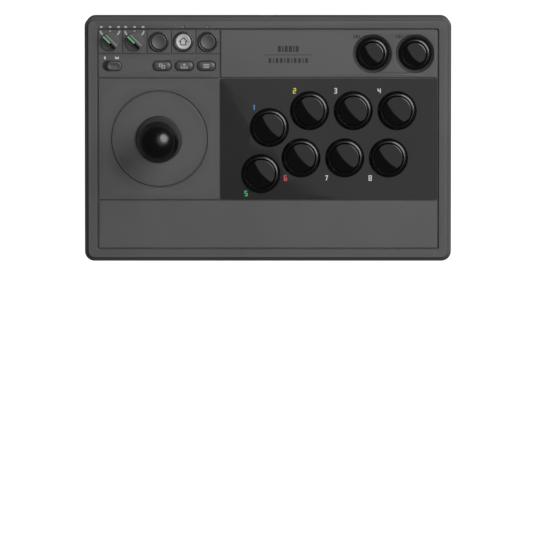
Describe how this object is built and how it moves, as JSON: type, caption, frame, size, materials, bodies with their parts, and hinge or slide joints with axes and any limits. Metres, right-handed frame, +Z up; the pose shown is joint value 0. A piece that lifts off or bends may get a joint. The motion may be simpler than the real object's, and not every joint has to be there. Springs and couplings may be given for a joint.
{
  "type": "arcade joystick panel",
  "caption": "Flat desktop arcade controller with a ball-top joystick, round push buttons and a row of small selector knobs and keys on a dark grey case.",
  "frame": {"origin": "centre of the case's footprint, on the surface that it stands on", "axes": "+X to the player's right, +Y to the rear, +Z up"},
  "size_m": [0.304, 0.2026, 0.1175],
  "materials": {
    "case_shell": "fine textured moulding",
    "deck_panels": "fine textured sheet",
    "gloss_panel": "polished sheet",
    "black_gloss": "polished moulding",
    "grey_controls": "smooth moulding",
    "white_key": "smooth moulding",
    "clear_lens": "clear moulding",
    "steel_sheet": "zinc plated sheet",
    "rubber_mat": "matt rubber",
    "black_screws": "black oxide",
    "bright_screws": "zinc plated",
    "bright_metal": "nickel plated",
    "circuit_board": "green solder mask",
    "battery_wrap": "shrink wrap",
    "switch_plastic": "moulded",
    "black_nylon": "moulded",
    "white_nylon": "moulded",
    "spring_steel": "bright wire",
    "shaft_steel": "ground bar",
    "wire_sheath": "vinyl",
    "ribbon_sheath": "vinyl"
  },
  "bodies": {
    "case": {"top_case": "case_shell", "base_plate": "steel_sheet", "grip_mat": "rubber_mat", "base_screws": "black_screws", "control_fascia": "deck_panels", "title_panel": "deck_panels", "stick_panel": "deck_panels", "button_panel": "gloss_panel", "palm_panel": "deck_panels", "light_pipes": "clear_lens", "main_board": "circuit_board", "usb_socket": "bright_metal", "battery_pack": "battery_wrap", "control_board": "circuit_board", "board_screws": "bright_screws", "rotary_switches": "switch_plastic", "key_switches": "switch_plastic", "slide_switch": "bright_metal", "stick_plate": "steel_sheet", "stick_housing": "black_nylon", "stick_screws": "black_screws", "stick_switches": "switch_plastic", "stick_board": "circuit_board", "restrictor_gate": "black_nylon", "centering_spring": "spring_steel", "button_bodies": "black_gloss", "button_switches": "switch_plastic", "small_button_bodies": "black_gloss", "small_button_switches": "switch_plastic", "wire_harness": "wire_sheath", "ribbon_cable": "ribbon_sheath"},
    "washer_ring": {"washer_glide": "black_nylon"},
    "washer": {"dust_washer": "black_nylon"},
    "tilt_liner": {"pivot_liner": "white_nylon"},
    "pivot": {"pivot_ball": "white_nylon", "actuator": "white_nylon"},
    "stick": {"stick_shaft": "shaft_steel", "ball_top": "black_gloss", "shaft_clip": "spring_steel"},
    "button_1": {"button_cap_1": "black_gloss"},
    "button_2": {"button_cap_2": "black_gloss"},
    "button_3": {"button_cap_3": "black_gloss"},
    "button_4": {"button_cap_4": "black_gloss"},
    "button_5": {"button_cap_5": "black_gloss"},
    "button_6": {"button_cap_6": "black_gloss"},
    "button_7": {"button_cap_7": "black_gloss"},
    "button_8": {"button_cap_8": "black_gloss"},
    "small_button_left": {"small_cap_left": "black_gloss"},
    "small_button_right": {"small_cap_right": "black_gloss"},
    "mode_selector": {"mode_knob": "grey_controls"},
    "wireless_selector": {"wireless_knob": "grey_controls"},
    "left_round": {"round_key_left": "grey_controls"},
    "home": {"home_key": "white_key"},
    "right_round": {"round_key_right": "grey_controls"},
    "left_pill": {"pill_key_left": "grey_controls"},
    "middle_pill": {"pill_key_middle": "grey_controls"},
    "right_pill": {"pill_key_right": "grey_controls"},
    "slider": {"slider_knob": "grey_controls"}
  },
  "joints": [
    {"name": "stick_tilt_side", "type": "hinge", "parent": "case", "child": "tilt_liner", "pos_m": [-0.0904, 0, 0.034], "axis": [0, 1, 0], "range_deg": [-9, 9], "stiffness_Nm_per_rad": 0.8, "deforming": ["centering_spring"]},
    {"name": "stick_tilt_fore", "type": "hinge", "parent": "tilt_liner", "child": "pivot", "pos_m": [-0.0904, 0, 0.034], "axis": [1, 0, 0], "range_deg": [-9, 9], "stiffness_Nm_per_rad": 0.8},
    {"name": "ball_spin", "type": "hinge", "parent": "pivot", "child": "stick", "pos_m": [-0.0904, 0, 0.034], "axis": [0, 0, 1], "continuous": true},
    {"name": "washer_shift_side", "type": "slide", "parent": "case", "child": "washer_ring", "axis": [1, 0, 0], "range_m": [-0.0036, 0.0036]},
    {"name": "washer_shift_fore", "type": "slide", "parent": "washer_ring", "child": "washer", "axis": [0, 1, 0], "range_m": [-0.0036, 0.0036]},
    {"name": "press_button_1", "type": "slide", "parent": "case", "child": "button_1", "axis": [0, 0, -1], "range_m": [0, 0.003], "stiffness_N_per_m": 150, "springref_m": -0.002},
    {"name": "press_button_2", "type": "slide", "parent": "case", "child": "button_2", "axis": [0, 0, -1], "range_m": [0, 0.003], "stiffness_N_per_m": 150, "springref_m": -0.002},
    {"name": "press_button_3", "type": "slide", "parent": "case", "child": "button_3", "axis": [0, 0, -1], "range_m": [0, 0.003], "stiffness_N_per_m": 150, "springref_m": -0.002},
    {"name": "press_button_4", "type": "slide", "parent": "case", "child": "button_4", "axis": [0, 0, -1], "range_m": [0, 0.003], "stiffness_N_per_m": 150, "springref_m": -0.002},
    {"name": "press_button_5", "type": "slide", "parent": "case", "child": "button_5", "axis": [0, 0, -1], "range_m": [0, 0.003], "stiffness_N_per_m": 150, "springref_m": -0.002},
    {"name": "press_button_6", "type": "slide", "parent": "case", "child": "button_6", "axis": [0, 0, -1], "range_m": [0, 0.003], "stiffness_N_per_m": 150, "springref_m": -0.002},
    {"name": "press_button_7", "type": "slide", "parent": "case", "child": "button_7", "axis": [0, 0, -1], "range_m": [0, 0.003], "stiffness_N_per_m": 150, "springref_m": -0.002},
    {"name": "press_button_8", "type": "slide", "parent": "case", "child": "button_8", "axis": [0, 0, -1], "range_m": [0, 0.003], "stiffness_N_per_m": 150, "springref_m": -0.002},
    {"name": "press_small_button_left", "type": "slide", "parent": "case", "child": "small_button_left", "axis": [0, 0, -1], "range_m": [0, 0.0024], "stiffness_N_per_m": 150, "springref_m": -0.002},
    {"name": "press_small_button_right", "type": "slide", "parent": "case", "child": "small_button_right", "axis": [0, 0, -1], "range_m": [0, 0.0024], "stiffness_N_per_m": 150, "springref_m": -0.002},
    {"name": "press_left_round", "type": "slide", "parent": "case", "child": "left_round", "axis": [0, 0, -1], "range_m": [0, 0.0008], "stiffness_N_per_m": 400, "springref_m": -0.001},
    {"name": "press_home", "type": "slide", "parent": "case", "child": "home", "axis": [0, 0, -1], "range_m": [0, 0.0008], "stiffness_N_per_m": 400, "springref_m": -0.001},
    {"name": "press_right_round", "type": "slide", "parent": "case", "child": "right_round", "axis": [0, 0, -1], "range_m": [0, 0.0008], "stiffness_N_per_m": 400, "springref_m": -0.001},
    {"name": "press_left_pill", "type": "slide", "parent": "case", "child": "left_pill", "axis": [0, 0, -1], "range_m": [0, 0.0008], "stiffness_N_per_m": 400, "springref_m": -0.001},
    {"name": "press_middle_pill", "type": "slide", "parent": "case", "child": "middle_pill", "axis": [0, 0, -1], "range_m": [0, 0.0008], "stiffness_N_per_m": 400, "springref_m": -0.001},
    {"name": "press_right_pill", "type": "slide", "parent": "case", "child": "right_pill", "axis": [0, 0, -1], "range_m": [0, 0.0008], "stiffness_N_per_m": 400, "springref_m": -0.001},
    {"name": "slide_slider", "type": "slide", "parent": "case", "child": "slider", "axis": [-1, 0, 0], "range_m": [0, 0.0032]},
    {"name": "turn_mode_selector", "type": "hinge", "parent": "case", "child": "mode_selector", "pos_m": [-0.13088, 0.08085, 0.055], "axis": [0, 0, 1], "range_deg": [-90, 0]},
    {"name": "turn_wireless_selector", "type": "hinge", "parent": "case", "child": "wireless_selector", "pos_m": [-0.11064, 0.08085, 0.055], "axis": [0, 0, 1], "range_deg": [-90, 0]}
  ],
  "couplings": [
    {"joint": "washer_shift_side", "follows": "stick_tilt_side", "m_per_rad": 0.0228},
    {"joint": "washer_shift_fore", "follows": "stick_tilt_fore", "m_per_rad": -0.0228}
  ]
}
